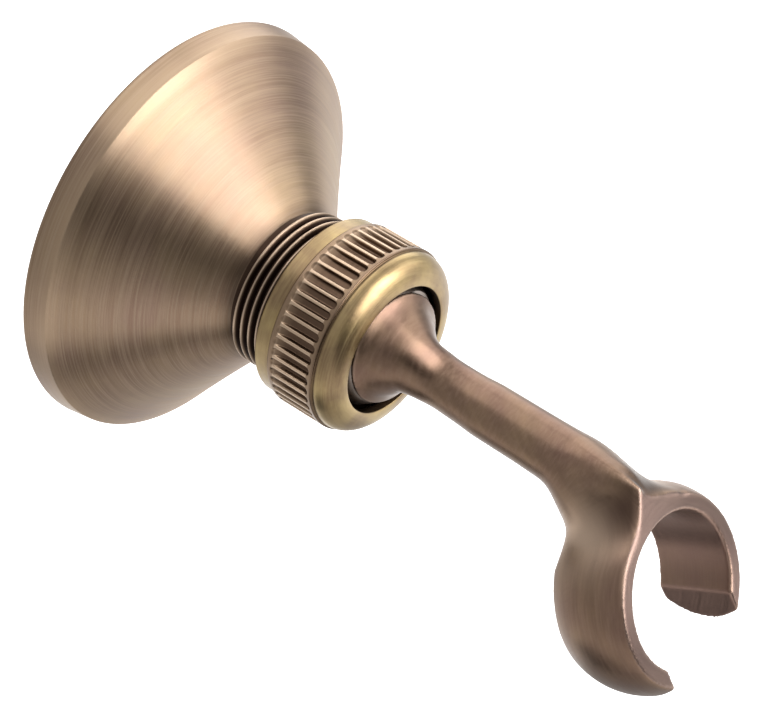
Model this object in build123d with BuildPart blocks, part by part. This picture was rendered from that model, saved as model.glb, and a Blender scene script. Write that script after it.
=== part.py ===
import os
from math import cos, pi, radians, sin, sqrt

from build123d import *

os.makedirs("parts", exist_ok=True)

# Hand shower holder, in mm. The wall is the plane Y = 0, the holder stands out along -Y and +Z is up.
# Wall flange
rim_radius = 30.0
rim_taper = 0.55
rim_height = 3.9
rim_round = 0.5
flange_wall = 2.6
cone_sag = -0.15
cone_height = 15.5
neck_length = 8.8
mouth_wall = 0.81
thread_depth = 0.85
thread_pitch = 2.0
thread_count = 4
thread_land = 0.35
web_thickness = 3.0
pocket_inset = 1.4
pocket_sink = 1.4
boss_radius = 7.2
screw_hole_radius = 2.75
countersink_radius = 5.2
countersink_depth = 2.45

# Ball joint
ball_ahead = 4.1
ball_radius = 10.2
ball_clearance = 0.1
seat_bore_radius = 5.8
seat_side_clearance = 0.1
mouth_clearance = 0.4
ball_hole_radius = 2.15
ball_recess_radius = 3.9
ball_recess_depth = 5.0
ring_height = 2.0
ring_outer_gap = 0.3
ring_inner_gap = 0.2

# Clamp nut
nut_overlap = 2.4
nut_wall = 1.35
nut_rim_length = 2.6
band_step = 0.5
band_length = 7.6
crown_step = 0.8
crown_height = 3.0
lip_reach = 0.9
nut_lip_round = 0.3
seat_edge_inset = 0.1
nut_thread_clearance = 0.3
nut_back_chamfer = 0.3
band_round = 0.4
crown_groove = 0.3
crown_bulge = 1.0
flute_count = 52
flute_width = 0.95
flute_depth = 0.55
flute_margin = 0.55

# Arm, straight from the ball centre, with its cradle in the arm's own plane
arm_yaw = 6.5
arm_droop = 9.4
bell_gap = 1.4
bell_edge = 0.5
bell_waist = 2.0
bell_top = 14.5
bell_top_radius = 2.4
stem_start = 9.5
stem_radius = 3.5
stem_mid = 33.0
stem_swell = 0.22
joint_gap = 0.08
screw_fit = 0.15
screw_head_fit = 0.4
screw_head_height = 4.0
screw_reach = 4.4
screw_socket = 3.0
screw_socket_depth = 2.0
screw_tip_gap = 0.8
screw_clearance = 0.05

# Cradle
cradle_along = 54.0
cradle_drop = 10.85
cradle_angle = 36.0
cradle_bore_radius = 10.5
cradle_length = 11.9
cradle_front_wall = 2.25
cradle_crown_wall = 3.7
cradle_crown_depth = 4.6
cradle_back_wall = 1.7
cradle_lead_in = 0.2
slot_width = 16.2
peak_reach = 6.0
root_reach = 1.0
root_flank = 2.3
root_flank_up = 2.0
root_half_width = 6.8
root_side_drop = 0.9
root_depth = 4.0
web_step = 0.03
neck_along = 40.6
neck_drop = 1.3
neck_angle = 18.0
neck_top = 5.1
neck_flank = 3.1
neck_flank_up = 2.9
neck_half_width = 6.0
neck_side_drop = 1.8
neck_depth = 10.2

# Where the turned pieces stand along the axis, each from the one before
rim_front_radius = rim_radius - rim_taper
neck_start = rim_height + cone_height
neck_end = neck_start + neck_length
ball_distance = neck_end + ball_ahead
pocket_floor = neck_start - pocket_sink
seat_back = pocket_floor + ring_height
nut_back = neck_end - nut_overlap
nut_shoulder = nut_back + nut_rim_length
nut_front = nut_shoulder + band_length
nut_face = nut_front + crown_height
flute_start = nut_shoulder + flute_margin
flute_end = nut_front - flute_margin

# Radii that follow the ball, from the inside out
pocket_radius = ball_radius - pocket_inset
mouth_radius = sqrt(ball_radius**2 - ball_ahead**2) + mouth_clearance
mouth_depth = 2 * (mouth_radius - pocket_radius)
thread_root_radius = mouth_radius + mouth_wall
thread_crest_radius = thread_root_radius + thread_depth
nut_bore_radius = thread_crest_radius + nut_thread_clearance
nut_back_radius = nut_bore_radius + nut_wall
nut_radius = nut_back_radius + band_step
nut_crown_radius = nut_radius - crown_step
nut_hole_radius = ball_radius - lip_reach
seat_edge_radius = ball_radius - seat_edge_inset
ring_outer_radius = pocket_radius - ring_outer_gap
ring_inner_radius = seat_bore_radius + ring_inner_gap
bell_radius = nut_hole_radius - bell_gap
stem_mid_radius = stem_radius + stem_swell
screw_radius = ball_hole_radius - screw_fit
screw_head_radius = ball_recess_radius - screw_head_fit

# Wall flange, turned in one piece with its threaded neck
cone_drop = neck_start - rim_height
cone_run = rim_front_radius - thread_root_radius
shell_shift = flange_wall * sqrt(cone_drop**2 + cone_run**2) / cone_drop
hollow_radius = rim_front_radius - flange_wall
hollow_step = rim_height - (shell_shift - flange_wall) * cone_drop / cone_run
hollow_top = pocket_floor - web_thickness
hollow_top_radius = rim_front_radius - shell_shift - (hollow_top - rim_height) * cone_run / cone_drop
with BuildPart() as wall_flange:
    with BuildSketch(Plane.XY):
        with BuildLine():
            Polyline(
                (thread_root_radius, -neck_start),
                (thread_root_radius, -neck_end),
                (mouth_radius, -neck_end),
                (pocket_radius, -neck_end + mouth_depth),
                (pocket_radius, -pocket_floor),
                (countersink_radius, -pocket_floor),
                (screw_hole_radius, -pocket_floor + countersink_depth),
                (screw_hole_radius, 0),
                (boss_radius, 0),
                (boss_radius, -hollow_top),
                (hollow_top_radius, -hollow_top),
                (hollow_radius, -hollow_step),
                (hollow_radius, 0),
                (rim_radius, 0),
                (rim_front_radius, -rim_height),
            )
            SagittaArc((rim_front_radius, -rim_height), (thread_root_radius, -neck_start), cone_sag)
        make_face()
    revolve(axis=Axis.Y)
    circles = wall_flange.edges().filter_by(GeomType.CIRCLE)
    rim_edges = circles.filter_by(lambda edge: edge.radius > hollow_radius + rim_round)
    fillet(rim_edges, rim_round)
    for ring in range(thread_count):
        crest = -neck_start - thread_pitch * (ring + 0.5)
        with BuildSketch(Plane.XY):
            with BuildLine():
                Polyline(
                    (thread_root_radius - thread_depth / 4, crest + thread_pitch / 2),
                    (thread_root_radius, crest + thread_pitch / 2),
                    (thread_crest_radius, crest + thread_land / 2),
                    (thread_crest_radius, crest - thread_land / 2),
                    (thread_root_radius, crest - thread_pitch / 2),
                    (thread_root_radius - thread_depth / 4, crest - thread_pitch / 2),
                    close=True,
                )
            make_face()
        revolve(axis=Axis.Y)
wall_flange.part.label = "wall_flange"
export_step(wall_flange.part, "parts/wall_flange.step")

# Clamp nut, fluted round its band, with a plain bore where the inside thread would be
seat_radius = ball_radius + ball_clearance
lip_back = ball_distance + sqrt(seat_radius**2 - nut_hole_radius**2)
seat_middle = ball_distance + sqrt(seat_radius**2 - ((nut_hole_radius + seat_edge_radius) / 2) ** 2)
seat_edge = ball_distance + sqrt(seat_radius**2 - seat_edge_radius**2)
flute_plane = Plane(
    origin=(nut_radius - flute_depth, 0, (flute_start + flute_end) / 2), x_dir=(0, 0, 1), z_dir=(1, 0, 0)
)
with BuildPart() as flute:
    with BuildSketch(flute_plane):
        SlotOverall(flute_end - flute_start, flute_width)
    extrude(amount=2 * flute_depth)
with BuildPart() as clamp_nut:
    with BuildSketch(Plane.XY):
        with BuildLine():
            Polyline(
                (nut_hole_radius, -nut_face + nut_lip_round),
                (nut_hole_radius, -lip_back),
            )
            ThreePointArc(
                (nut_hole_radius, -lip_back),
                ((nut_hole_radius + seat_edge_radius) / 2, -seat_middle),
                (seat_edge_radius, -seat_edge),
            )
            Polyline(
                (seat_edge_radius, -seat_edge),
                (nut_bore_radius, -seat_edge + nut_bore_radius - seat_edge_radius),
                (nut_bore_radius, -nut_back),
                (nut_back_radius - nut_back_chamfer, -nut_back),
                (nut_back_radius, -nut_back - nut_back_chamfer),
                (nut_radius, -nut_shoulder),
                (nut_radius, -nut_front + band_round),
                (nut_radius - band_round, -nut_front),
                (nut_crown_radius - crown_groove, -nut_front),
                (nut_crown_radius, -nut_front - crown_groove),
            )
            SagittaArc(
                (nut_crown_radius, -nut_front - crown_groove),
                (nut_hole_radius + nut_lip_round, -nut_face),
                crown_bulge,
            )
            Line((nut_hole_radius + nut_lip_round, -nut_face), (nut_hole_radius, -nut_face + nut_lip_round))
        make_face()
    revolve(axis=Axis.Y)
    with Locations(Plane.XZ):
        with PolarLocations(0, flute_count):
            add(flute.part, mode=Mode.SUBTRACT)
clamp_nut.part.label = "clamp_nut"
export_step(clamp_nut.part, "parts/clamp_nut.step")

# Rear seat, a nylon cup that the ball is pressed into
seat_outer_radius = pocket_radius - seat_side_clearance
seat_front = ball_distance - sqrt(seat_radius**2 - seat_outer_radius**2)
seat_inner = ball_distance - sqrt(seat_radius**2 - seat_bore_radius**2)
seat_half = (seat_outer_radius + seat_bore_radius) / 2
seat_half_way = ball_distance - sqrt(seat_radius**2 - seat_half**2)
with BuildPart() as rear_seat:
    with BuildSketch(Plane.XY):
        with BuildLine():
            ThreePointArc(
                (seat_bore_radius, -seat_inner),
                (seat_half, -seat_half_way),
                (seat_outer_radius, -seat_front),
            )
            Polyline(
                (seat_outer_radius, -seat_front),
                (seat_outer_radius, -seat_back),
                (seat_bore_radius, -seat_back),
                (seat_bore_radius, -seat_inner),
            )
        make_face()
    revolve(axis=Axis.Y)
rear_seat.part.label = "rear_seat"
export_step(rear_seat.part, "parts/rear_seat.step")

# Rubber ring that presses the seat forward
with BuildPart() as pressure_ring:
    with BuildSketch(Plane.XY):
        with Locations(((ring_outer_radius + ring_inner_radius) / 2, -(pocket_floor + seat_back) / 2)):
            Rectangle(ring_outer_radius - ring_inner_radius, seat_back - pocket_floor)
    revolve(axis=Axis.Y)
pressure_ring.part.label = "pressure_ring"
export_step(pressure_ring.part, "parts/pressure_ring.step")

# Arm plane, with x along the stem from the ball centre and y up
yaw = radians(arm_yaw)
droop = radians(arm_droop)
arm_along = Vector(sin(yaw) * cos(droop), -cos(yaw) * cos(droop), -sin(droop))
arm_side = Vector(cos(yaw), sin(yaw), 0)
arm_plane = Plane(origin=(0, -ball_distance, 0), x_dir=arm_along, z_dir=-arm_side)
arm_axis = Axis((0, -ball_distance, 0), arm_along)
bell_along = Vector(sin(yaw), -cos(yaw), 0)
bell_plane = Plane(origin=(0, -ball_distance, 0), x_dir=bell_along, z_dir=-arm_side)
bell_axis = Axis((0, -ball_distance, 0), bell_along)
flat_along = sqrt(ball_radius**2 - bell_radius**2)
recess_mouth = -sqrt(ball_radius**2 - ball_recess_radius**2)
recess_floor = -ball_radius + ball_recess_depth
with BuildPart() as swivel_ball:
    with BuildSketch(bell_plane):
        with BuildLine():
            ThreePointArc((flat_along, bell_radius), (0, ball_radius), (recess_mouth, ball_recess_radius))
            Polyline(
                (recess_mouth, ball_recess_radius),
                (recess_floor, ball_recess_radius),
                (recess_floor, ball_hole_radius),
                (flat_along, ball_hole_radius),
                (flat_along, bell_radius),
            )
        make_face()
    revolve(axis=bell_axis)
swivel_ball.part.label = "swivel_ball"
export_step(swivel_ball.part, "parts/swivel_ball.step")

# Socket screw through the ball into the arm
screw_tip = flat_along + screw_reach
socket_plane = Plane(bell_plane.from_local_coords((recess_floor - screw_head_height, 0, 0)), z_dir=bell_along)
with BuildPart() as ball_screw:
    with BuildSketch(bell_plane):
        with BuildLine():
            Polyline(
                (recess_floor - screw_head_height, 0),
                (recess_floor - screw_head_height, screw_head_radius),
                (recess_floor, screw_head_radius),
                (recess_floor, screw_radius),
                (screw_tip, screw_radius),
                (screw_tip, 0),
                close=True,
            )
        make_face()
    revolve(axis=bell_axis)
    with BuildSketch(socket_plane):
        RegularPolygon(screw_socket / 2, 6, major_radius=False)
    extrude(amount=screw_socket_depth, mode=Mode.SUBTRACT)
ball_screw.part.label = "ball_screw"
export_step(ball_screw.part, "parts/ball_screw.step")

# Arm: bell, stem and cradle cast as one
tilt = radians(cradle_angle)
bore_along = arm_along * cos(tilt) + arm_plane.y_dir * sin(tilt)
bore_up = arm_plane.y_dir * cos(tilt) - arm_along * sin(tilt)
cradle_centre = arm_plane.from_local_coords((cradle_along, -cradle_drop, 0))
cradle_plane = Plane(origin=cradle_centre, x_dir=bore_up, z_dir=-arm_side)
front_plane = Plane(origin=cradle_centre, x_dir=arm_side, z_dir=bore_along)
bore_axis = Axis(cradle_centre, bore_along)
neck_turn = radians(neck_angle)
neck_centre = arm_plane.from_local_coords((neck_along, -neck_drop, 0))
neck_along_dir = arm_along * cos(neck_turn) + arm_plane.y_dir * sin(neck_turn)
bell_start = flat_along + joint_gap
front_radius = cradle_bore_radius + cradle_front_wall
crown_radius = cradle_bore_radius + cradle_crown_wall
back_radius = cradle_bore_radius + cradle_back_wall
root_radius = cradle_bore_radius + root_reach
peak_radius = cradle_bore_radius + peak_reach
stem_end = arm_plane.from_local_coords((stem_mid, 0, 0))
web_start = stem_mid_radius - web_step


def pear(top, flank, flank_up, half_width, side_drop, depth):
    low_width = half_width * cos(pi / 4)
    low = side_drop + (depth - side_drop) * cos(pi / 4)
    right = ((flank, flank_up), (half_width, -side_drop), (low_width, -low))
    left = ((-low_width, -low), (-half_width, -side_drop), (-flank, flank_up))
    Spline((0, top), *right, (0, -depth), *left, periodic=True)


with BuildPart() as cradle_arm:
    with BuildSketch(bell_plane):
        with BuildLine():
            Polyline(
                (bell_top, bell_top_radius),
                (bell_top, 0),
                (bell_start, 0),
                (bell_start, bell_radius),
                (bell_start + bell_edge, bell_radius),
            )
            Spline(
                (bell_start + bell_edge, bell_radius),
                (bell_start + bell_edge + bell_waist, (bell_radius + stem_radius) / 2),
                (bell_top, bell_top_radius),
                tangents=((0.45, -1), (1, -0.15)),
            )
        make_face()
    revolve(axis=bell_axis)
    with BuildSketch(arm_plane):
        with BuildLine():
            Polyline(
                (stem_start, 0),
                (stem_start, stem_radius),
                (stem_mid, stem_mid_radius),
                (stem_mid, 0),
                close=True,
            )
        make_face()
    revolve(axis=arm_axis)
    with BuildSketch(Plane(stem_end, arm_side, arm_along)):
        with BuildLine():
            pear(web_start, web_start * cos(pi / 4), web_start * cos(pi / 4), web_start, 0, web_start)
        make_face()
    with BuildSketch(Plane(neck_centre, arm_side, neck_along_dir)):
        with BuildLine():
            pear(neck_top, neck_flank, neck_flank_up, neck_half_width, neck_side_drop, neck_depth)
        make_face()
    with BuildSketch(Plane(cradle_centre + bore_up * root_radius, arm_side, bore_along)):
        with BuildLine():
            pear(peak_radius - root_radius, root_flank, root_flank_up, root_half_width, root_side_drop, root_depth)
        make_face()
    loft()
    with BuildSketch(cradle_plane):
        with BuildLine():
            Polyline(
                (front_radius, 0),
                (cradle_bore_radius, 0),
                (cradle_bore_radius, cradle_length),
                (back_radius, cradle_length),
            )
            ThreePointArc((back_radius, cradle_length), (crown_radius, cradle_crown_depth), (front_radius, 0))
        make_face()
    revolve(axis=bore_axis)
    with BuildSketch(cradle_plane):
        with BuildLine():
            Polyline(
                (0, -cradle_lead_in),
                (cradle_bore_radius + 2 * cradle_lead_in, -cradle_lead_in),
                (cradle_bore_radius, cradle_lead_in),
                (cradle_bore_radius, 2 * cradle_length),
                (0, 2 * cradle_length),
                close=True,
            )
        make_face()
    revolve(axis=bore_axis, mode=Mode.SUBTRACT)
    with BuildSketch(front_plane):
        with Locations((0, -crown_radius)):
            Rectangle(slot_width, 2 * crown_radius)
    extrude(amount=2 * cradle_length, both=True, mode=Mode.SUBTRACT)
    with BuildSketch(bell_plane):
        with BuildLine():
            Polyline(
                (bell_start - 1, 0),
                (bell_start - 1, screw_radius + screw_clearance),
                (screw_tip + screw_tip_gap, screw_radius + screw_clearance),
                (screw_tip + screw_tip_gap, 0),
                close=True,
            )
        make_face()
    revolve(axis=bell_axis, mode=Mode.SUBTRACT)
cradle_arm.part.label = "cradle_arm"
export_step(cradle_arm.part, "parts/cradle_arm.step")
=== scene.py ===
import math

import bmesh
import bpy
import numpy as np
from mathutils import Matrix, Vector


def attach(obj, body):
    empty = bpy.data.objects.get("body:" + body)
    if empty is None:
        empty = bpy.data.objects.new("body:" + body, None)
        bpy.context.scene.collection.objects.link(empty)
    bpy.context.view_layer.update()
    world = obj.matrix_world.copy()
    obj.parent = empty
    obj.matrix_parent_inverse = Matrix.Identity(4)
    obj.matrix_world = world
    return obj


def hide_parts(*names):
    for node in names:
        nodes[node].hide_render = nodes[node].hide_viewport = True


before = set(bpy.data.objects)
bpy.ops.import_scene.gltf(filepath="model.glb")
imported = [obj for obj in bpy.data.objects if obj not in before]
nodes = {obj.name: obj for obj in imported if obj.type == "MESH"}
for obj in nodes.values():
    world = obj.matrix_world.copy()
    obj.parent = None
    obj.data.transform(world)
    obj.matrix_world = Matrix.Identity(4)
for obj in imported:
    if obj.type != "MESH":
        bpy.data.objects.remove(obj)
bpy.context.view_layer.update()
mm = 0.001
bpy.context.scene.view_settings.view_transform = "Standard"
print("frame loaded:", ", ".join(sorted(nodes)))


def hexColour(text):
    # sRGB hex to the linear values that the shader wants
    parts = [int(text[i:i + 2], 16) / 255 for i in (1, 3, 5)]
    return tuple(c / 12.92 if c <= 0.04045 else ((c + 0.055) / 1.055) ** 2.4 for c in parts) + (1.0,)


def addNode(tree, kind, inputs=None, **settings):
    made = tree.nodes.new(kind)
    for key, value in settings.items():
        setattr(made, key, value)
    for key, value in (inputs or {}).items():
        if isinstance(value, bpy.types.NodeSocket):
            tree.links.new(value, made.inputs[key])
        else:
            made.inputs[key].default_value = value
    return made


def putMesh(name, mesh, body, material):
    piece = bpy.data.objects.new(name, mesh)
    bpy.context.scene.collection.objects.link(piece)
    mesh.materials.clear()
    mesh.materials.append(material)
    for polygon in mesh.polygons:
        polygon.use_smooth = True
    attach(piece, body)
    return piece


# The arm's own lines: the bell is level, the stem droops from the ball's centre, the bore tips up again
armPose = {"yaw": 6.5, "droop": 9.4, "boreTip": 36.0, "ballAhead": 32.3,
           "cradleAlong": 54.0, "cradleDrop": 10.85}
yaw, droop, tip = (math.radians(armPose[key]) for key in ("yaw", "droop", "boreTip"))
ballCentre = Vector((0, -armPose["ballAhead"], 0)) * mm
armSide = Vector((math.cos(yaw), math.sin(yaw), 0))
bellAlong = Vector((math.sin(yaw), -math.cos(yaw), 0))
armAlong = Vector((math.sin(yaw) * math.cos(droop), -math.cos(yaw) * math.cos(droop), -math.sin(droop)))
armUp = Vector((math.sin(yaw) * math.sin(droop), -math.cos(yaw) * math.sin(droop), math.cos(droop)))
boreAlong = armAlong * math.cos(tip) + armUp * math.sin(tip)
boreUp = armUp * math.cos(tip) - armAlong * math.sin(tip)
cradleCentre = ballCentre + (armAlong * armPose["cradleAlong"] - armUp * armPose["cradleDrop"]) * mm


def brushLines(tree, coords, axis, centre, grain, stroke, lean):
    # scratches that run round an axis: grain is their spacing in mm, stroke how often they break up in a turn
    offset = addNode(tree, "ShaderNodeVectorMath", {0: coords, 1: centre}, operation="SUBTRACT")
    around = addNode(tree, "ShaderNodeVectorMath", {0: axis, 1: offset.outputs[0]}, operation="CROSS_PRODUCT")
    circle = addNode(tree, "ShaderNodeVectorMath", {0: around.outputs[0]}, operation="NORMALIZE")
    reach = addNode(tree, "ShaderNodeVectorMath", {0: around.outputs[0]}, operation="LENGTH")
    along = addNode(tree, "ShaderNodeVectorMath", {0: offset.outputs[0], 1: axis}, operation="DOT_PRODUCT")
    slant = addNode(tree, "ShaderNodeMath", {0: reach.outputs["Value"], 1: lean, 2: along.outputs["Value"]},
                    operation="MULTIPLY_ADD")
    fine = addNode(tree, "ShaderNodeMath", {0: slant.outputs[0], 1: 1 / (grain * mm)}, operation="MULTIPLY")
    line = addNode(tree, "ShaderNodeVectorMath", {0: axis, "Scale": fine.outputs[0]}, operation="SCALE")
    place = addNode(tree, "ShaderNodeVectorMath",
                    {0: circle.outputs[0], 1: (stroke,) * 3, 2: line.outputs[0]}, operation="MULTIPLY_ADD")
    noise = addNode(tree, "ShaderNodeTexNoise",
                    {"Vector": place.outputs[0], "Scale": 1.0, "Detail": 3.0, "Roughness": 0.6})
    return noise.outputs["Fac"], circle.outputs[0]


def brushedBrass(spec):
    made = bpy.data.materials.new(spec["name"])
    made.use_nodes = True
    tree = made.node_tree
    shader = tree.nodes["Principled BSDF"]
    coords = addNode(tree, "ShaderNodeTexCoord").outputs["Object"]
    fine, circle = brushLines(tree, coords, *spec["lines"][0])
    if len(spec["lines"]) > 1:
        # the cradle is brushed round its own bore, the rest round the stem
        second, turned = brushLines(tree, coords, *spec["lines"][1])
        middle, inner, outer = spec["split"]
        apart = addNode(tree, "ShaderNodeVectorMath", {0: coords, 1: middle}, operation="DISTANCE")
        share = addNode(tree, "ShaderNodeMapRange",
                        {"Value": apart.outputs["Value"], "From Min": inner * mm, "From Max": outer * mm,
                         "To Min": 1.0, "To Max": 0.0})
        fine = addNode(tree, "ShaderNodeMix", {0: share.outputs[0], 2: fine, 3: second},
                       data_type="FLOAT").outputs[0]
        circle = addNode(tree, "ShaderNodeMix", {0: share.outputs[0], 4: circle, 5: turned},
                         data_type="VECTOR").outputs[1]
    coarse, _ = brushLines(tree, coords, *spec["streaks"])
    cloud = addNode(tree, "ShaderNodeTexNoise",
                    {"Vector": coords, "Scale": 1 / (spec["cloudMm"] * mm), "Detail": 3.0,
                     "Roughness": 0.55}).outputs["Fac"]
    patina = addNode(tree, "ShaderNodeMapRange", {"Value": cloud, "From Min": 0.35, "From Max": 0.65})
    ground = addNode(tree, "ShaderNodeMix",
                     {0: patina.outputs[0], 6: hexColour(spec["brown"]), 7: hexColour(spec["gold"])},
                     data_type="RGBA").outputs[2]
    # broad streaks of the brush, then the fine scratches over them
    streak = addNode(tree, "ShaderNodeMapRange", {"Value": coarse, "From Min": 0.3, "From Max": 0.7,
                                                  "To Min": 0.0, "To Max": spec["streakShare"]})
    ground = addNode(tree, "ShaderNodeMix", {0: streak.outputs[0], 6: ground, 7: hexColour(spec["deep"])},
                     data_type="RGBA").outputs[2]
    scratch = addNode(tree, "ShaderNodeMapRange", {"Value": fine, "From Min": 0.42, "From Max": 0.72,
                                                   "To Min": 0.0, "To Max": spec["scratchShare"]})
    ground = addNode(tree, "ShaderNodeMix", {0: scratch.outputs[0], 6: ground, 7: hexColour(spec["pale"])},
                     data_type="RGBA").outputs[2]
    # rubbed edges go bright, painted shade darkens corners and hollows, and painted highlights lighten crests
    # and some spots
    for name, colour, share in spec["worn"]:
        mask = addNode(tree, "ShaderNodeAttribute", attribute_name=name)
        amount = addNode(tree, "ShaderNodeMath", {0: mask.outputs["Fac"], 1: share},
                         operation="MULTIPLY", use_clamp=True)
        ground = addNode(tree, "ShaderNodeMix", {0: amount.outputs[0], 6: ground, 7: hexColour(colour)},
                         data_type="RGBA").outputs[2]
    rough = addNode(tree, "ShaderNodeMapRange", {"Value": fine, "From Min": 0.3, "From Max": 0.7,
                                                 "To Min": spec["rough"][0], "To Max": spec["rough"][1]})
    bump = addNode(tree, "ShaderNodeBump", {"Height": fine, "Strength": spec["bump"], "Distance": 0.05 * mm})
    tangent = addNode(tree, "ShaderNodeVectorTransform", {0: circle}, vector_type="VECTOR",
                      convert_from="OBJECT", convert_to="WORLD")
    shader.inputs["Metallic"].default_value = 1.0
    shader.inputs["Anisotropic"].default_value = spec["anisotropy"]
    shader.inputs["Anisotropic Rotation"].default_value = 0.25   # the glint spreads across the scratches
    tree.links.new(ground, shader.inputs["Base Color"])
    tree.links.new(rough.outputs[0], shader.inputs["Roughness"])
    tree.links.new(bump.outputs[0], shader.inputs["Normal"])
    tree.links.new(tangent.outputs[0], shader.inputs["Tangent"])
    return made


turnedAxis, turnedCentre = (0, -1, 0), (0, 0, 0)

# Antique brass, turned and brushed while it spins, then browned: fine rings and radial glints.
# The brush's real lines are too fine for the picture, so all three finishes draw them coarser
turnedBrass = brushedBrass({
    "name": "antiqueBrassTurned", "brown": "#7C6658", "gold": "#8A765E", "deep": "#685343", "pale": "#A08C78",
    "lines": [(turnedAxis, turnedCentre, 0.3, 1.6, -1.15)],
    "streaks": (turnedAxis, turnedCentre, 1.6, 0.9, -1.15),
    "cloudMm": 14, "streakShare": 0.4, "scratchShare": 0.6, "rough": (0.34, 0.48), "bump": 0.2,
    "anisotropy": 0.88,
    # rubbed rim edge; painted shade at the neck and down the thread's flanks; a painted highlight along the
    # thread's crest
    "worn": [("wear", "#A8927A", 0.5), ("paintedShade", "#2B1E18", 0.92), ("paintedCrestHighlight", "#B39E8A", 0.85)],
})

# The nut's brass is rubbed back to yellow on its plain faces and left brown round its flutes
buffedBrass = brushedBrass({
    "name": "antiqueBrassBuffed", "brown": "#76624A", "gold": "#9A865E", "deep": "#66543E", "pale": "#A89670",
    "lines": [(turnedAxis, turnedCentre, 0.4, 2.0, -1.0)],
    "streaks": (turnedAxis, turnedCentre, 1.2, 2.2, -1.0),
    "cloudMm": 5, "streakShare": 0.35, "scratchShare": 0.3, "rough": (0.3, 0.42), "bump": 0.12,
    "anisotropy": 0.4,
    # the band's own brown; painted shade in the flutes, the groove and the bore; worn ridges
    "worn": [("browned", "#7C6856", 0.92), ("paintedShade", "#4A392E", 0.9), ("wear", "#B29C86", 0.8)],
})

# The arm is a casting, linished across the stem and round the cradle, then browned
castBrass = brushedBrass({
    "name": "antiqueBrassCast", "brown": "#6E574B", "gold": "#7C6652", "deep": "#54423A", "pale": "#907868",
    "lines": [(tuple(armAlong), tuple(ballCentre), 0.35, 3.0, 0.6),
              (tuple(boreAlong), tuple(cradleCentre), 0.35, 2.4, 0.7)],
    "split": (tuple(cradleCentre), 15.0, 19.0),
    "streaks": (tuple(boreAlong), tuple(cradleCentre), 1.5, 2.0, 0.5),
    "cloudMm": 9, "streakShare": 0.4, "scratchShare": 0.28, "rough": (0.33, 0.45), "bump": 0.1,
    "anisotropy": 0.5,
    # a painted highlight on each flank, painted shade in corners, hollows and undersides, painted light inside
    # the bore, a greyer front face and rubbed edges
    "worn": [("paintedHighlight", "#B7A18D", 0.75), ("paintedShade", "#2E201A", 0.9), ("inner", "#7B635A", 0.85),
             ("face", "#66554F", 0.85), ("wear", "#AF9684", 0.2)],
})


def plainFinish(name, colour, dark, grainMm, metallic, rough, bumpAmount):
    made = bpy.data.materials.new(name)
    made.use_nodes = True
    tree = made.node_tree
    shader = tree.nodes["Principled BSDF"]
    coords = addNode(tree, "ShaderNodeTexCoord").outputs["Object"]
    grain = addNode(tree, "ShaderNodeTexNoise",
                    {"Vector": coords, "Scale": 1 / (grainMm * mm), "Detail": 3.0}).outputs["Fac"]
    colours = addNode(tree, "ShaderNodeMix", {0: grain, 6: hexColour(dark), 7: hexColour(colour)},
                      data_type="RGBA")
    spread = addNode(tree, "ShaderNodeMapRange", {"Value": grain, "To Min": rough[0], "To Max": rough[1]})
    bump = addNode(tree, "ShaderNodeBump", {"Height": grain, "Strength": bumpAmount, "Distance": 0.05 * mm})
    shader.inputs["Metallic"].default_value = metallic
    tree.links.new(colours.outputs[2], shader.inputs["Base Color"])
    tree.links.new(spread.outputs[0], shader.inputs["Roughness"])
    tree.links.new(bump.outputs[0], shader.inputs["Normal"])
    return made


# A dull browned ball, milky nylon, flat black rubber and a grey zinc screw: plain, with a slight grain
satinBall = plainFinish("brassBallBrowned", "#8A8078", "#6A5F58", 1.5, 1.0, (0.28, 0.4), 0.1)
mouldedNylon = plainFinish("mouldedNylon", "#DDD8CC", "#CFC8BA", 2.0, 0.0, (0.45, 0.6), 0.1)
blackRubber = plainFinish("blackRubber", "#222222", "#161616", 1.0, 0.0, (0.6, 0.8), 0.2)
zincScrew = plainFinish("zincPlatedSteel", "#9A9A98", "#7C7B78", 0.8, 1.0, (0.25, 0.4), 0.1)
for nodeName, material in (("swivel_ball", satinBall), ("rear_seat", mouldedNylon),
                           ("pressure_ring", blackRubber), ("ball_screw", zincScrew)):
    nodes[nodeName].data.materials.clear()
    nodes[nodeName].data.materials.append(material)
print("finishes made")


def roundCorners(corners, steps=5):
    # corners are (radius, along, rounding) in mm; a rounded one becomes an arc that runs on into its neighbours
    path = []
    count = len(corners)
    for i, (r, y, size) in enumerate(corners):
        here = Vector((r, y))
        if size <= 0:
            path.append(here)
            continue
        before = (Vector(corners[i - 1][:2]) - here).normalized()
        after = (Vector(corners[(i + 1) % count][:2]) - here).normalized()
        half = before.angle(after) / 2
        reach = size / math.tan(half)
        centre = here + (before + after).normalized() * (size / math.sin(half))
        start, end = here + before * reach - centre, here + after * reach - centre
        swing = start.angle_signed(end)
        for k in range(steps + 1):
            turn = -swing * k / steps
            path.append(centre + Vector((start.x * math.cos(turn) - start.y * math.sin(turn),
                                         start.x * math.sin(turn) + start.y * math.cos(turn))))
    return path


def profileNormals(path):
    # long straight runs rule the normal where they meet a small arc
    found = []
    count = len(path)
    for i, here in enumerate(path):
        into, out = here - path[i - 1], path[(i + 1) % count] - here
        found.append(Vector((-(into.y + out.y), into.x + out.x)).normalized())
    return found


def setMasks(mesh, masks):
    for name, values in masks.items():
        mesh.attributes.new(name, "FLOAT", "POINT").data.foreach_set("value", np.asarray(values, np.float32))


# Wall flange: a spun cone with a short rim, hollow behind, with a neck that carries the thread
flangeShape = {"rim": 30.0, "rimFront": 29.45, "rimHeight": 3.9, "wall": 2.6, "coneEnd": 19.4, "bow": 0.15,
               "root": 10.55, "neckEnd": 28.2, "mouth": 9.74, "mouthDepth": 1.9, "pocket": 8.8,
               "pocketFloor": 18.0, "boss": 7.2, "hole": 2.75, "sink": 5.2, "sinkDepth": 2.45,
               "hollowTop": 15.0, "segments": 240, "rubbedRim": 0.5, "darkFoot": 1.2}


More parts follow.
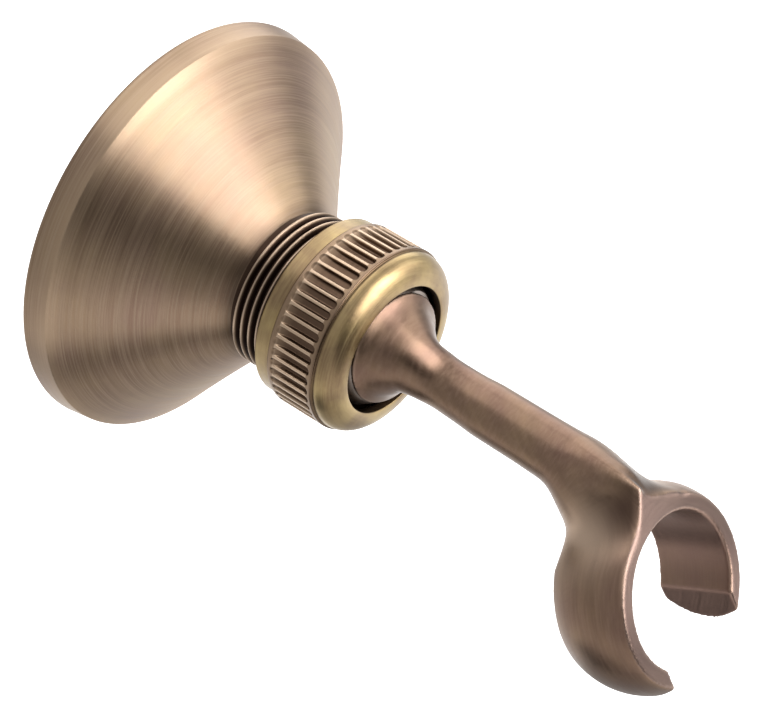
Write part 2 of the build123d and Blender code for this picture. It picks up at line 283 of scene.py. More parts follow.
def makeFlange(shape):
    run, drop = shape["rimFront"] - shape["root"], shape["coneEnd"] - shape["rimHeight"]
    shift = shape["wall"] * math.hypot(run, drop) / drop
    hollow = shape["rimFront"] - shape["wall"]
    step = shape["rimHeight"] - (shift - shape["wall"]) * drop / run
    hollowTop = shape["rimFront"] - shift - (shape["hollowTop"] - shape["rimHeight"]) * run / drop
    bow = []   # the cone hollows by a hair between rim and neck
    for k in range(1, 12):
        share = k / 12
        sag = shape["bow"] * 4 * share * (1 - share)
        bow.append((shape["rimFront"] - run * share - sag * 0.65,
                    -shape["rimHeight"] - drop * share + sag * 0.76, 0))
    corners = [(shape["rim"], 0, 0.5), (shape["rimFront"], -shape["rimHeight"], 0.32), *bow,
               (shape["root"], -shape["coneEnd"], 0.5), (shape["root"], -shape["neckEnd"], 0.3),
               (shape["mouth"], -shape["neckEnd"], 0.2),
               (shape["pocket"], -shape["neckEnd"] + shape["mouthDepth"], 0),
               (shape["pocket"], -shape["pocketFloor"], 0.3), (shape["sink"], -shape["pocketFloor"], 0.1),
               (shape["hole"], -shape["pocketFloor"] + shape["sinkDepth"], 0.1), (shape["hole"], 0, 0.2),
               (shape["boss"], 0, 0.4), (shape["boss"], -shape["hollowTop"], 0.6),
               (hollowTop, -shape["hollowTop"], 0.8), (hollow, -step, 0.8), (hollow, 0, 0.3)]
    return roundCorners(corners)


def turnProfile(name, path, segments):
    normals = profileNormals(path)
    turns = np.arange(segments) * 2 * math.pi / segments
    radius = np.array([p.x for p in path]) * mm
    along = np.array([p.y for p in path]) * mm
    verts = np.stack([np.outer(np.cos(turns), radius), np.tile(along, (segments, 1)),
                      np.outer(np.sin(turns), radius)], -1)
    count = len(path)
    faces = []
    for i in range(segments):
        a, b = i * count, (i + 1) % segments * count
        for j in range(count):
            k = (j + 1) % count
            faces.append((a + j, a + k, b + k, b + j))
    mesh = bpy.data.meshes.new(name)
    mesh.from_pydata(verts.reshape(-1, 3).tolist(), [], faces)
    mesh.update()
    return mesh, normals, turns


flangePath = makeFlange(flangeShape)
flangeMesh, flangeNormals, flangeTurns = turnProfile("wallFlange", flangePath, flangeShape["segments"])
for polygon in flangeMesh.polygons:
    polygon.use_smooth = True
if flangeMesh.polygons[0].normal.dot(Vector((flangePath[0].x, 0, 0))) < 0:
    flangeMesh.flip_normals()
sign = -1 if flangeNormals[0].x < 0 else 1
flangeMesh.normals_split_custom_set_from_vertices(
    [(sign * n.x * math.cos(t), sign * n.y, sign * n.x * math.sin(t))
     for t in flangeTurns for n in flangeNormals])

# the rim's front edge is rubbed bright, and painted shade darkens the cone towards the neck, deepest in the
# corner at its root
wear, paintedShade = [], []
for p in flangePath:
    fromEdge = math.hypot(p.x - flangeShape["rimFront"], p.y + flangeShape["rimHeight"])
    wear.append(max(0, 1 - fromEdge / flangeShape["rubbedRim"]))
    if p.x < flangeShape["root"] + 0.05 and p.y < -flangeShape["coneEnd"] + 0.4:
        paintedShade.append(1.0)
    elif p.y < -flangeShape["rimHeight"]:
        paintedShade.append(max(0.0, 0.5 * (1 - (p.x - flangeShape["root"]) / flangeShape["darkFoot"])))
    else:
        paintedShade.append(0.0)
setMasks(flangeMesh, {"wear": wear * flangeShape["segments"], "paintedShade": paintedShade * flangeShape["segments"]})
flange = putMesh("wallFlangeTurned", flangeMesh, "base", turnedBrass)
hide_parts("wall_flange")
print("wall flange turned:", len(flangeMesh.polygons), "faces")


def newTree(name, inputs):
    tree = bpy.data.node_groups.new(name, "GeometryNodeTree")
    tree.interface.new_socket("Geometry", in_out="INPUT", socket_type="NodeSocketGeometry")
    for label, kind, value in inputs:
        tree.interface.new_socket(label, in_out="INPUT", socket_type=kind).default_value = value
    tree.interface.new_socket("Geometry", in_out="OUTPUT", socket_type="NodeSocketGeometry")
    return tree, addNode(tree, "NodeGroupInput").outputs


def runTree(name, mesh, tree, last, material, sizes):
    # the tree ends in plain geometry with its material, and the modifier's result becomes a plain mesh
    plain = addNode(tree, "GeometryNodeRealizeInstances", {0: last})
    dressed = addNode(tree, "GeometryNodeSetMaterial", {"Geometry": plain.outputs[0], "Material": material})
    addNode(tree, "NodeGroupOutput", {0: dressed.outputs[0]})
    maker = bpy.data.objects.new(name + "Maker", mesh)
    bpy.context.scene.collection.objects.link(maker)
    modifier = maker.modifiers.new("Nodes", "NODES")
    modifier.node_group = tree
    for item in tree.interface.items_tree:
        if item.in_out == "INPUT" and item.name in sizes:
            modifier[item.identifier] = sizes[item.name]
    made = bpy.data.meshes.new_from_object(maker.evaluated_get(bpy.context.evaluated_depsgraph_get()))
    made.name = name
    bpy.data.objects.remove(maker)
    return made


# Neck thread: one ridge swept along a spiral, by Geometry Nodes
threadShape = {"turns": 6.2, "pitch": 1.3, "root": 10.5, "depth": 0.85, "foot": 1.2, "land": 0.2,
               "crestRadius": 0.12, "start": 19.9, "fade": 0.4, "brightFrom": 0.82}


def makeThread(shape, material):
    tree, asked = newTree("neckThread", [
        ("Turns", "NodeSocketFloat", 1.0), ("Pitch", "NodeSocketFloat", 0.002),
        ("Root Radius", "NodeSocketFloat", 0.01), ("Depth", "NodeSocketFloat", 0.001),
        ("Foot", "NodeSocketFloat", 0.001), ("Land", "NodeSocketFloat", 0.001),
        ("Start", "NodeSocketFloat", 0.02), ("Fade", "NodeSocketFloat", 0.3),
        ("Crest Radius", "NodeSocketFloat", 0.0001)])
    height = addNode(tree, "ShaderNodeMath", {0: asked["Turns"], 1: asked["Pitch"]}, operation="MULTIPLY")
    spiral = addNode(tree, "GeometryNodeCurveSpiral",
                     {"Resolution": 160, "Rotations": asked["Turns"], "Height": height.outputs[0],
                      "Start Radius": asked["Root Radius"], "End Radius": asked["Root Radius"]})
    upright = addNode(tree, "GeometryNodeSetCurveNormal", {"Curve": spiral.outputs[0]}, mode="Z_UP")
    ridge = addNode(tree, "GeometryNodeCurvePrimitiveQuadrilateral", mode="TRAPEZOID")
    for label, socket in (("Bottom Width", "Foot"), ("Top Width", "Land"), ("Height", "Depth")):
        tree.links.new(asked[socket], ridge.inputs[label])
    ridge.inputs["Offset"].default_value = 0.0
    eased = addNode(tree, "GeometryNodeFilletCurve",
                    {"Curve": ridge.outputs[0], "Count": 3, "Radius": asked["Crest Radius"],
                     "Limit Radius": True}, mode="POLY")
    # the profile stands on the root with its crest outward, which is -X here
    half = addNode(tree, "ShaderNodeMath", {0: asked["Depth"], 1: -0.5}, operation="MULTIPLY")
    lift = addNode(tree, "ShaderNodeCombineXYZ", {"X": half.outputs[0]})
    standing = addNode(tree, "GeometryNodeTransform",
                       {"Geometry": eased.outputs[0], "Translation": lift.outputs[0],
                        "Rotation": (0, 0, math.pi / 2)})
    # the ridge runs out to nothing at both ends
    place = addNode(tree, "GeometryNodeSplineParameter")
    back = addNode(tree, "ShaderNodeMath", {0: 1.0, 1: place.outputs["Factor"]}, operation="SUBTRACT")
    nearer = addNode(tree, "ShaderNodeMath", {0: place.outputs["Factor"], 1: back.outputs[0]},
                     operation="MINIMUM")
    turned = addNode(tree, "ShaderNodeMath", {0: nearer.outputs[0], 1: asked["Turns"]}, operation="MULTIPLY")
    faded = addNode(tree, "ShaderNodeMath", {0: turned.outputs[0], 1: asked["Fade"]},
                    operation="DIVIDE", use_clamp=True)
    kept = addNode(tree, "ShaderNodeMath", {0: faded.outputs[0], 1: 0.05}, operation="MAXIMUM")
    swept = addNode(tree, "GeometryNodeCurveToMesh",
                    {"Curve": upright.outputs[0], "Profile Curve": standing.outputs[0],
                     "Scale": kept.outputs[0], "Fill Caps": True})
    outward = addNode(tree, "ShaderNodeMath", {0: asked["Start"], 1: -1.0}, operation="MULTIPLY")
    shift = addNode(tree, "ShaderNodeCombineXYZ", {"Y": outward.outputs[0]})
    laid = addNode(tree, "GeometryNodeTransform",
                   {"Geometry": swept.outputs[0], "Translation": shift.outputs[0],
                    "Rotation": (math.pi / 2, 0, 0)})
    sizes = {"Turns": shape["turns"], "Pitch": shape["pitch"] * mm, "Root Radius": shape["root"] * mm,
             "Depth": shape["depth"] * mm, "Foot": shape["foot"] * mm, "Land": shape["land"] * mm,
             "Start": shape["start"] * mm, "Fade": shape["fade"], "Crest Radius": shape["crestRadius"] * mm}
    return runTree("neckThread", bpy.data.meshes.new("threadSeed"), tree, laid.outputs[0], material, sizes)


def settle(mesh):
    # merge what lies together and turn every face outward
    work = bmesh.new()
    work.from_mesh(mesh)
    bmesh.ops.remove_doubles(work, verts=work.verts, dist=0.002 * mm)
    bmesh.ops.recalc_face_normals(work, faces=work.faces)
    work.to_mesh(mesh)
    work.free()
    mesh.update()


def meshPoints(mesh):
    points = np.empty(len(mesh.vertices) * 3, np.float32)
    mesh.vertices.foreach_get("co", points)
    return points.reshape(-1, 3).astype(float)


threadMesh = makeThread(threadShape, turnedBrass)
settle(threadMesh)
spots = meshPoints(threadMesh)
rise = (np.hypot(spots[:, 0], spots[:, 2]) / mm - threadShape["root"]) / threadShape["depth"]
# painted highlight along the crest and painted shade down the flanks; both masks run past 0 and 1, for a crisp
# line between them
paintedCrestHighlight = (rise - threadShape["brightFrom"]) / (1 - threadShape["brightFrom"])
setMasks(threadMesh, {"paintedCrestHighlight": paintedCrestHighlight, "paintedShade": (1 - rise) * 3})
thread = putMesh("neckThreadRidge", threadMesh, "base", turnedBrass)
print("neck thread swept:", len(threadMesh.polygons), "faces")


# Clamp nut: one flute's sector of the ring, set round 52 times by Geometry Nodes and merged into one piece
nutShape = {"count": 52, "back": 25.8, "shoulder": 28.4, "front": 36.0, "face": 39.0, "backRadius": 12.95,
            "band": 13.4, "crown": 13.1, "groove": 0.3, "hole": 9.3, "lip": 0.1, "bore": 11.7,
            "fluteDepth": 0.62, "fluteHalf": 0.55, "fluteStart": 29.05, "fluteEnd": 35.45, "fluteFade": 2.0,
            "fluteLeast": 0.15}


def fluteDepth(u, y, shape):
    # a rounded slot that runs along the ring, shallow at the back and full at the front
    mid = (shape["fluteStart"] + shape["fluteEnd"]) / 2
    straight = (shape["fluteEnd"] - shape["fluteStart"]) / 2 - shape["fluteHalf"]
    away = math.hypot(u, max(0.0, abs(-y - mid) - straight))
    share = min(1.0, max(0.0, (shape["fluteHalf"] + 0.08 - away) / 0.2))
    run = min(1.0, max(0.0, (-y - shape["fluteStart"]) / shape["fluteFade"]))
    deep = shape["fluteLeast"] + (1 - shape["fluteLeast"]) * run
    return shape["fluteDepth"] * share * share * (3 - 2 * share) * deep


def makeNutSector(shape):
    band, front, face = shape["band"], shape["front"], shape["face"]
    lipRadius, domeStart = shape["hole"] + shape["lip"], front + shape["groove"]
    dome = []   # the crown swells in one sweep from the groove to the hole
    for k in range(17):
        turn = math.pi / 2 * k / 16
        dome.append((lipRadius + (shape["crown"] - lipRadius) * math.cos(turn),
                     -domeStart - (face - domeStart) * math.sin(turn), 0))
    corners = [(shape["backRadius"], -shape["back"], 0.3), (shape["backRadius"], -shape["shoulder"], 0.1),
               (band, -shape["shoulder"], 0.25), (band, -front, 0.2),
               (shape["crown"] - 0.2, -front - 0.08, 0), *dome,
               (shape["hole"], -face + shape["lip"], 0), (shape["hole"], -face + 1.2, 0.2),
               (shape["bore"], -face + 3.4, 0.2), (shape["bore"], -shape["back"], 0.3)]
    path = roundCorners(corners, 4)
    # the band gets rows close enough to round the flutes' ends
    rows = []
    count = len(path)
    for i, here in enumerate(path):
        rows.append(here)
        after = path[(i + 1) % count]
        reach = abs(after.y - here.y)
        if here.x > band - 0.01 and after.x > band - 0.01 and reach > 3:
            ends = [0.25 + 0.1 * k for k in range(10)]
            between = [1.4 + (reach - 2.8) * k / 6 for k in range(7)]
            for step in [*ends, *between, *[reach - e for e in reversed(ends)]]:
                rows.append(Vector((band, here.y - step)))
    # columns lie close together on the flute's two walls
    half = math.pi * band / shape["count"]
    wall = [0.2, 0.38, 0.48, 0.54, 0.6, 0.66, half]
    columns = [*[-u for u in reversed(wall)], 0.0, *wall]
    verts = []
    for u in columns:
        turn = u / band
        for row in rows:
            sunk = fluteDepth(u, row.y, shape) if row.x > band - 0.01 else 0.0
            radius = (row.x - sunk) * mm
            verts.append((radius * math.cos(turn), row.y * mm, radius * math.sin(turn)))
    count = len(rows)
    faces = []
    for i in range(len(columns) - 1):
        for j in range(count):
            k = (j + 1) % count
            faces.append((i * count + j, i * count + k, (i + 1) * count + k, (i + 1) * count + j))
    mesh = bpy.data.meshes.new("nutSector")
    mesh.from_pydata(verts, [], faces)
    mesh.update()
    return mesh


def ringRepeat(sector, count, material):
    tree, asked = newTree("fluteRing", [("Count", "NodeSocketInt", 1)])
    spots = addNode(tree, "GeometryNodeMeshLine", {"Count": asked["Count"], "Offset": (0, 0, 0)})
    number = addNode(tree, "GeometryNodeInputIndex")
    share = addNode(tree, "ShaderNodeMath", {0: number.outputs[0], 1: asked["Count"]}, operation="DIVIDE")
    turn = addNode(tree, "ShaderNodeMath", {0: share.outputs[0], 1: 2 * math.pi}, operation="MULTIPLY")
    spin = addNode(tree, "ShaderNodeCombineXYZ", {"Y": turn.outputs[0]})
    whole = addNode(tree, "GeometryNodeGeometryToInstance", {0: asked["Geometry"]})
    ring = addNode(tree, "GeometryNodeInstanceOnPoints",
                   {"Points": spots.outputs[0], "Instance": whole.outputs[0], "Rotation": spin.outputs[0]})
    return runTree("clampNut", sector, tree, ring.outputs[0], material, {"Count": count})


def weighNormals(mesh):
    # large faces rule the shading where they meet a small rounding
    corner = np.empty(len(mesh.loops), np.int32)
    mesh.loops.foreach_get("vertex_index", corner)
    sides, area = np.empty(len(mesh.polygons), np.int32), np.empty(len(mesh.polygons), np.float32)
    facing = np.empty(len(mesh.polygons) * 3, np.float32)
    mesh.polygons.foreach_get("loop_total", sides)
    mesh.polygons.foreach_get("area", area)
    mesh.polygons.foreach_get("normal", facing)
    total = np.zeros((len(mesh.vertices), 3))
    np.add.at(total, corner, np.repeat(facing.reshape(-1, 3) * area[:, None] * 1e6, sides, axis=0))
    total /= np.linalg.norm(total, axis=1, keepdims=True) + 1e-12
    mesh.normals_split_custom_set_from_vertices(total.tolist())


nutMesh = ringRepeat(makeNutSector(nutShape), nutShape["count"], buffedBrass)
settle(nutMesh)
spots = meshPoints(nutMesh) / mm
outer, ahead = np.hypot(spots[:, 0], spots[:, 2]), -spots[:, 1]
onOutside = outer > 12.5   # clear of the bore
inBand = (ahead > nutShape["shoulder"] - 0.01) & (ahead < nutShape["front"] + 0.01) & onOutside
sunk = np.where(inBand, np.clip((nutShape["band"] - outer) / nutShape["fluteDepth"], 0, 1), 0)
seam = np.clip(1 - np.abs(ahead - nutShape["front"] - 0.1) / 0.35, 0, 1) * onOutside
inside = ((outer < nutShape["hole"] + 0.08)
          | ((outer < nutShape["bore"] + 0.1) & (ahead < nutShape["face"] - 1.0)))
ridges = inBand & (ahead > nutShape["fluteStart"] + 0.3) & (ahead < nutShape["fluteEnd"] - 0.3)
# painted shade in the flutes, in the groove before the crown and inside the hole and bore
setMasks(nutMesh, {"browned": inBand,
                   "paintedShade": np.clip(np.maximum.reduce([sunk * 1.1, seam, inside * 0.9]), 0, 1),
                   "wear": np.where(ridges, np.clip(1 - sunk * 2.5, 0, 1), 0)})
nut = putMesh("clampNutFluted", nutMesh, "nut", buffedBrass)
weighNormals(nutMesh)
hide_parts("clamp_nut")
print("clamp nut made:", len(nutMesh.polygons), "faces")


# Arm: the CAD form, cast as one skin; the bell leans on its ball, inner corners are filled and edges eased.
# Spots are (along the stem, aside, up) from the ball's centre, and pairs are where a change starts and ends,
# all in mm
armShape = {"voxel": 0.215, "ease": 7, "stem": 3.5, "bore": 10.5, "slot": 16.2,
            "plug": (11.8, 15.7), "plugRadius": 2.25, "screwFrom": 10.3, "screwCut": 0.75,
            "lean": 11.0, "leanTo": (-0.8, 0, 0.5), "leanFade": (11.2, 17), "swerve": (8.8, 13.2),
            "flare": 4.9, "flareFrom": 8.6, "flareFall": 1.75, "flareIn": (10.8, 12.4), "flareOut": (17, 21),
            "stemMore": (0.36, 0.14), "stemShift": (-0.1, -0.16), "stemIn": (12.5, 18), "stemOut": (32, 42),
            "hollow": 1.1, "hollowAt": (43.0, 3.0, -0.4), "hollowReach": 4.6, "hollowLess": 0.8,
            "ridgeFoot": (1.0, 3.0), "frontFoot": (-3.4, -0.3),
            "ridgeFill": 0.55, "ridgeFillAt": (42.0, 1.8, 2.2), "ridgeFillReach": 2.8,
            "notchFill": 0.6, "notchAt": (38.4, 5.0, -5.6), "notchReach": 2.6, "saddleAt": (42.2, 6.0, -3.4),
            "kinkAt": (33.8, 3.9, -1.6), "kinkBack": 0.28,
            "tipRounds": 6, "jointRounds": 130, "flankRounds": 300, "kinkRounds": 180, "hollowRounds": 26}

# Where painted shade darkens the arm's metal and a painted highlight makes it paler, and by how much
armPaintedLight = {"hollow": 0.8, "hollowAt": (43.8, 3.0, 0.5), "hollowReach": 4.3, "bell": 0.12, "ring": 0.42,
           "stem": 0.34, "highlightAt": (41.3, 6.0, -4.2), "highlightReach": 4.6}


def ramp(values, low, high):
    share = np.clip((values - low) / (high - low), 0, 1)
    return share * share * (3 - 2 * share)


def makeArm(shape):
    mesh = nodes["cradle_arm"].data.copy()
    settle(mesh)
    mesh.transform(nodes["cradle_arm"].matrix_world)
    # a plug makes the blind hole for the ball's screw shorter, so that the skin over its end can be drawn in
    work = bmesh.new()
    work.from_mesh(mesh)
    start, end = shape["plug"]
    radius = shape["plugRadius"] * mm
    spot = ballCentre + bellAlong * (start + end) / 2 * mm
    turned = bellAlong.to_track_quat("Z", "Y").to_matrix().to_4x4()
    bmesh.ops.create_cone(work, cap_ends=True, segments=48, radius1=radius, radius2=radius,
                          depth=(end - start) * mm, matrix=Matrix.Translation(spot) @ turned)
    work.to_mesh(mesh)
    work.free()
    # the grid lies askew to the flat faces, so that their edges come out even
    askew = Matrix.Rotation(0.6, 4, Vector((0.3, 0.5, 0.8)).normalized())
    mesh.transform(askew)
    maker = bpy.data.objects.new("armMaker", mesh)
    bpy.context.scene.collection.objects.link(maker)
    skin = maker.modifiers.new("Skin", "REMESH")
    skin.mode = "VOXEL"
    skin.voxel_size = shape["voxel"] * mm
    made = bpy.data.meshes.new_from_object(maker.evaluated_get(bpy.context.evaluated_depsgraph_get()))
    made.name = "cradleArm"
    made.transform(askew.inverted())
    bpy.data.objects.remove(maker)
    return made


armMesh = makeArm(armShape)
edges = np.empty(len(armMesh.edges) * 2, np.int32)
armMesh.edges.foreach_get("vertices", edges)
edges = edges.reshape(-1, 2)
valence = np.bincount(edges.ravel(), minlength=len(armMesh.vertices))[:, None]


def neighbourMean(values, links):
    total = np.zeros_like(values)
    for axis in range(values.shape[1]):
        total[:, axis] = (np.bincount(links[:, 0], values[links[:, 1], axis], len(values))
                          + np.bincount(links[:, 1], values[links[:, 0], axis], len(values)))
    return total / np.maximum(valence, 1)


def vertexNormals(mesh):
    facing = np.empty(len(mesh.vertices) * 3, np.float32)
    mesh.vertex_normals.foreach_get("vector", facing)
    return facing.reshape(-1, 3).astype(float)


def putPoints(mesh, points):
    mesh.vertices.foreach_set("co", points.astype(np.float32).ravel())
    mesh.update()


# where each point lies, by the stem, by the bell and by the cradle's bore
armAxes = np.array([armAlong, armSide, armUp])
bellLine, boreLine = np.array(bellAlong), np.array(boreAlong)
skinPoints = meshPoints(armMesh)
facing = vertexNormals(armMesh)
offset = (skinPoints - np.array(ballCentre)) / mm
aside = np.abs(offset @ np.array(armSide))
reach = np.linalg.norm(offset, axis=1)
bellSpan = offset @ bellLine
radial = offset - np.outer(bellSpan, bellLine)
fromAxis = np.linalg.norm(np.cross(offset, bellLine), axis=1)
fromBore = (skinPoints - np.array(cradleCentre)) / mm
boreSpan = fromBore @ boreLine
boreRise = fromBore @ np.array(boreUp)
boreReach = np.linalg.norm(fromBore - np.outer(boreSpan, boreLine), axis=1)
inBore = (boreReach < armShape["bore"] + 0.3) & (np.abs(boreSpan + 6) < 7)
frontFace = (np.abs(boreSpan) < 0.12) & ~inBore
prongEnd = (np.abs(aside - armShape["slot"] / 2) < 0.15) & (boreRise < -5) & (boreReach > armShape["bore"] - 0.2)
holeWall = (np.sum(radial * facing, axis=1) < 0) | (facing @ bellLine < -0.5)
inHole = (fromAxis < 2.5) & (bellSpan < 12.2) & holeWall

# the bell turns about the ball's centre, less and less towards the stem, and not round its screw hole
hinge = np.array(bellAlong.cross(Vector(armShape["leanTo"])).normalized())
lean = math.radians(armShape["lean"])
onSeat = np.sum(offset * facing, axis=1) < 0
hold = np.where(inHole, 0, np.where(onSeat & (reach < 11), ramp(fromAxis, 2.6, 5), 1))
swing = lean * ((1 - ramp(reach, *armShape["leanFade"])) * hold)[:, None]
offset = (offset * np.cos(swing) + np.cross(hinge, offset) * np.sin(swing)
          + np.outer(offset @ hinge, hinge) * (1 - np.cos(swing)))

# behind the bell the stem flares evenly, and its middle line bends from the bell's lean to the stem's droop
place = np.stack([offset @ axis for axis in armAxes], 1)
leaned = Matrix.Rotation(lean, 3, Vector(hinge)) @ bellAlong
middle = place[:, 0] * (1 - ramp(place[:, 0], *armShape["swerve"]))
middle = middle[:, None] * np.array([leaned.dot(armSide), leaned.dot(armUp)])
girth = np.linalg.norm(place[:, 1:] - middle, axis=1)
fall = np.exp(-(place[:, 0] - armShape["flareFrom"]) / armShape["flareFall"])
flare = armShape["stem"] + armShape["flare"] * fall
share = ramp(place[:, 0], *armShape["flareIn"]) * (1 - ramp(place[:, 0], *armShape["flareOut"])) * ~inHole
scale = 1 + share * (flare / np.maximum(girth, 1) - 1)
place[:, 1:] = middle + (place[:, 1:] - middle) * scale[:, None]

# the stem is a little wider than it is high, and sits a touch low
onStem = (ramp(place[:, 0], *armShape["stemIn"]) * (1 - ramp(place[:, 0], *armShape["stemOut"])))[:, None]
place[:, 1:] *= 1 + onStem * np.array(armShape["stemMore"]) / armShape["stem"]
place[:, 1:] += onStem * np.array(armShape["stemShift"])
skinPoints = np.array(ballCentre) + (place @ armAxes) * mm
along, sideways, height = place.T


def nearSpot(spot):
    # distance in mm from a spot that both flanks have
    return np.sqrt((along - spot[0]) ** 2 + (np.abs(sideways) - spot[1]) ** 2 + (height - spot[2]) ** 2)


def roundSpot(spot, size):
    # a round spot that fades out evenly
    return np.exp(-(nearSpot(spot) / size) ** 2)


# a hollow in each flank under the ridge, shallower on the far one, and more metal in the corner below it
putPoints(armMesh, skinPoints)
sink = roundSpot(armShape["hollowAt"], armShape["hollowReach"]) * ramp(boreReach, 11.5, 14)
sink *= (1 - ramp(height, *armShape["ridgeFoot"])) * (1 - ramp(boreSpan, *armShape["frontFoot"]))
sink *= 1 - armShape["hollowLess"] * ramp(sideways, -1, 1)
added = armShape["notchFill"] * roundSpot(armShape["notchAt"], armShape["notchReach"]) * ~inBore
ridgeSide = roundSpot(armShape["ridgeFillAt"], armShape["ridgeFillReach"]) * ramp(sideways, -0.5, 1.5)
added += armShape["ridgeFill"] * ridgeSide
skinPoints += vertexNormals(armMesh) * ((added - armShape["hollow"] * sink) * mm)[:, None]

# the prongs' tips, the crease behind the bell and the corner under the cradle's root run out softly
tips = 1 - ramp(boreRise, -9, -3)
joint = ramp(reach, 11.0, 12.5) * (1 - ramp(reach, 18, 22)) * ~inHole
corner = np.minimum(nearSpot(armShape["notchAt"]), nearSpot(armShape["saddleAt"]))
under = (1 - ramp(corner, 2.0, 6.5)) * (1 - ramp(height, -0.5, 1.5)) * ~inBore
kink = (1 - ramp(nearSpot(armShape["kinkAt"]), 2.5, 7)) * (1 - ramp(height, 1.5, 3))
for zone, rounds in ((tips, "tipRounds"), (joint, "jointRounds"), (under, "flankRounds"),
                     (kink, "kinkRounds"), (np.minimum(sink * 2.5, 1), "hollowRounds")):
    links = edges[(zone[edges[:, 0]] > 0) | (zone[edges[:, 1]] > 0)]
    for turn in range(armShape[rounds]):
        skinPoints += (neighbourMean(skinPoints, links) - skinPoints) * zone[:, None] * 0.5
putPoints(armMesh, skinPoints)
skinPoints += vertexNormals(armMesh) * (armShape["kinkBack"] * mm * kink)[:, None]   # what the softening took
for turn in range(armShape["ease"]):
    skinPoints += (neighbourMean(skinPoints, edges) - skinPoints) * 0.5
putPoints(armMesh, skinPoints)

# edges are rubbed bright; painted shade darkens inner corners, the hollows, round the bell, low on the ring and
# along the stem's underside
bend = np.sum((skinPoints - neighbourMean(skinPoints, edges)) * vertexNormals(armMesh), axis=1, keepdims=True)
bend /= 0.01 * mm
for turn in range(2):
    bend = bend * 0.4 + neighbourMean(bend, edges) * 0.6
bend = bend[:, 0]
inHollow = roundSpot(armPaintedLight["hollowAt"], armPaintedLight["hollowReach"]) * ramp(boreReach, 11.2, 13)
inHollow *= (1 - ramp(height, 2.3, 3.3)) * (1 - ramp(boreSpan, -1.0, -0.1))
lowOnRing = ramp(-boreRise, 0, 8) * ramp(boreReach, 11.5, 13) * ramp(-boreSpan, 0.2, 1)
underStem = ramp(-height, -0.6, 1.6) * ramp(along, 12, 17) * (1 - ramp(along, 34, 40))
armShade = np.maximum.reduce([
    np.clip(-bend * 2 - 0.1, 0, 1), armPaintedLight["hollow"] * inHollow, armPaintedLight["bell"] * (1 - ramp(reach, 14, 19)),
    armPaintedLight["ring"] * lowOnRing, armPaintedLight["stem"] * underStem])
setMasks(armMesh, {"wear": np.clip((bend - 0.5) / 0.7, 0, 1), "paintedShade": armShade, "face": frontFace,
                   # a painted highlight on each flank
                   "paintedHighlight": roundSpot(armPaintedLight["highlightAt"], armPaintedLight["highlightReach"]),
                   # painted light: the bore's inside and the prongs' end faces are paler, more towards the
                   # bore's top
                   "inner": np.maximum(inBore * (0.5 + 0.5 * ramp(boreRise, -7, 3)), prongEnd)})
arm = putMesh("cradleArmCast", armMesh, "arm", castBrass)
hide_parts("cradle_arm")
print("arm cast:", len(armMesh.polygons), "faces")

# Ball screw: the CAD's screw, its end drawn back to suit the shorter hole
screwMesh = nodes["ball_screw"].data.copy()
screwMesh.transform(nodes["ball_screw"].matrix_world)
settle(screwMesh)
shank = (meshPoints(screwMesh) - np.array(ballCentre)) / mm
past = np.maximum(shank @ bellLine - armShape["screwFrom"], 0)
shank -= np.outer(past * armShape["screwCut"], bellLine)
putPoints(screwMesh, shank * mm + np.array(ballCentre))
screw = putMesh("ballScrewShort", screwMesh, "ball", zincScrew)
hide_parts("ball_screw")
print("ball screw shortened")


# Studio: a pale floor, four soft lights, and cards that only the metal mirrors, to give it its dark sides
def stageSheet(name, centre, along, across, length, width, material):
    along, across = Vector(along).normalized(), Vector(across).normalized()
    corners = [Vector(centre) + along * (a * length / 2) + across * (b * width / 2)
               for a, b in ((-1, -1), (1, -1), (1, 1), (-1, 1))]
    mesh = bpy.data.meshes.new(name)
    mesh.from_pydata([tuple(c) for c in corners], [], [(0, 1, 2, 3)])
    mesh.materials.append(material)
    sheet = bpy.data.objects.new(name, mesh)
    bpy.context.scene.collection.objects.link(sheet)
    return sheet


def seenRays(tree, mirrored):
    # camera and see-through rays find white; the metal mirrors a dimmer room, and scattered light the dimmest
    path = addNode(tree, "ShaderNodeLightPath")
    pair = addNode(tree, "ShaderNodeMath",
                   {0: path.outputs["Is Camera Ray"], 1: path.outputs["Is Transmission Ray"]}, operation="ADD")
    return addNode(tree, "ShaderNodeMath", {0: path.outputs["Is Glossy Ray"], 1: mirrored, 2: pair.outputs[0]},
                   operation="MULTIPLY_ADD", use_clamp=True).outputs[0]


roomLook = {"mirrored": 0.6, "floorColour": 0.8, "floorGlow": 0.72, "roomLeast": 0.5}
floorPaint = bpy.data.materials.new("paleFloor")
floorPaint.use_nodes = True
floorTree = floorPaint.node_tree
floorTree.nodes.clear()
matt = addNode(floorTree, "ShaderNodeBsdfDiffuse", {"Color": (roomLook["floorColour"],) * 3 + (1,)})
glow = addNode(floorTree, "ShaderNodeEmission", {"Color": (1, 1, 1, 1), "Strength": roomLook["floorGlow"]})
both = addNode(floorTree, "ShaderNodeAddShader", {0: matt.outputs[0], 1: glow.outputs[0]})
shown = addNode(floorTree, "ShaderNodeMixShader",
                {0: seenRays(floorTree, roomLook["mirrored"]), 1: matt.outputs[0], 2: both.outputs[0]})
addNode(floorTree, "ShaderNodeOutputMaterial", {"Surface": shown.outputs[0]})
floor = stageSheet("studioFloor", (0, 0, -0.25), (1, 0, 0), (0, 1, 0), 12, 12, floorPaint)

world = bpy.data.worlds.new("studioRoom")
bpy.context.scene.world = world
world.use_nodes = True
roomTree = world.node_tree
dim = addNode(roomTree, "ShaderNodeMapRange", {"Value": seenRays(roomTree, roomLook["mirrored"]),
                                               "To Min": roomLook["roomLeast"], "To Max": 1.0})
roomTree.links.new(dim.outputs[0], roomTree.nodes["Background"].inputs["Strength"])
roomTree.nodes["Background"].inputs["Color"].default_value = (1, 1, 1, 1)

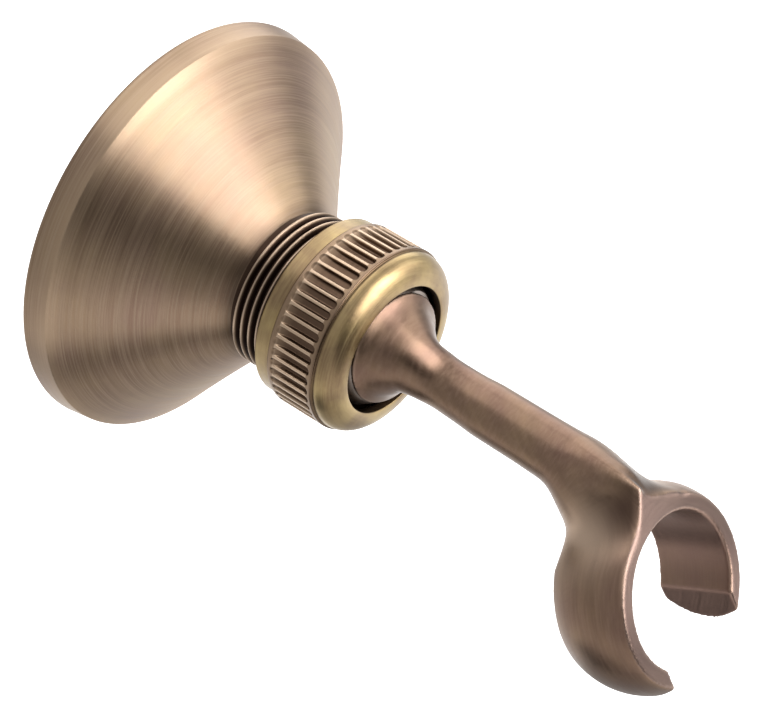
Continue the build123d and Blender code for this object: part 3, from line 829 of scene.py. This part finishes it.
blackCloth = plainFinish("blackCloth", "#0A0908", "#060505", 20.0, 0.0, (0.9, 1.0), 0.0)
greyCloth = plainFinish("greyCloth", "#B4B2B0", "#ACAAA8", 20.0, 0.0, (0.9, 1.0), 0.0)
card = stageSheet("blackCard", (-0.135, -0.50, 0.06), (-0.588, 0, 0.809), (0.809, -0.1, 0.588), 0.8, 0.3,
                  blackCloth)
underCard = stageSheet("underCard", (-0.02, -0.13, -0.24), (1, 0, 0), (0, 1, 0), 0.27, 0.3, greyCloth)
smallCard = stageSheet("smallCard", (-0.185, -0.05, -0.23), (1, 0, 0), (0, 1, 0), 0.15, 0.2, blackCloth)
for sheet in (card, underCard, smallCard):
    for ray in ("visible_camera", "visible_shadow", "visible_diffuse"):
        setattr(sheet, ray, False)


def softLight(name, direction, distance, along, length, width, strength):
    lamp = bpy.data.lights.new(name, "AREA")
    lamp.shape, lamp.size, lamp.size_y = "RECTANGLE", length, width
    lamp.energy = math.pi * length * width * strength   # strength is the brightness of the panel's face
    made = bpy.data.objects.new(name, lamp)
    bpy.context.scene.collection.objects.link(made)
    back = Vector(direction).normalized()
    side = Vector(along)
    side = (side - back * side.dot(back)).normalized()
    turned = Matrix((side, back.cross(side), back)).transposed()
    made.matrix_world = Matrix.Translation(back * distance + Vector((0, -0.04, 0))) @ turned.to_4x4()
    made.visible_camera = False
    return made


strip = softLight("stripSoftbox", (0.29, -0.86, 0.38), 0.6, (-0.53, 0, 0.848), 0.44, 0.48, 9.6)
fill = softLight("fillSoftbox", (0.78, -0.55, 0.3), 0.7, (0, 0.1, 1), 0.42, 0.5, 2.9)
topLight = softLight("topSoftbox", (0.1, 0.34, 0.9), 0.7, (1, 0, 0), 0.64, 0.45, 2.4)
backLight = softLight("backSoftbox", (0.82, 0.37, 0.43), 0.7, (0, 0, 1), 0.7, 0.52, 2.6)

# Camera: where the photograph was taken from, found from the flange's and nut's ellipses
viewPose = {"right": (0.6549, -0.756, 0), "up": (0.5252, 0.455, 0.7193), "back": (-0.5438, -0.471, 0.6947),
            "place": (-0.2091, -0.2182, 0.2642), "lens": 136.4}
lensBody = bpy.data.cameras.new("photoCamera")
lensBody.lens, lensBody.sensor_width = viewPose["lens"], 36
lensBody.clip_start = 0.01
camera = bpy.data.objects.new("photoCamera", lensBody)
bpy.context.scene.collection.objects.link(camera)
turned = Matrix([viewPose[key] for key in ("right", "up", "back")]).transposed()
camera.matrix_world = Matrix.Translation(viewPose["place"]) @ turned.to_4x4()
bpy.context.scene.camera = camera
print("studio set")
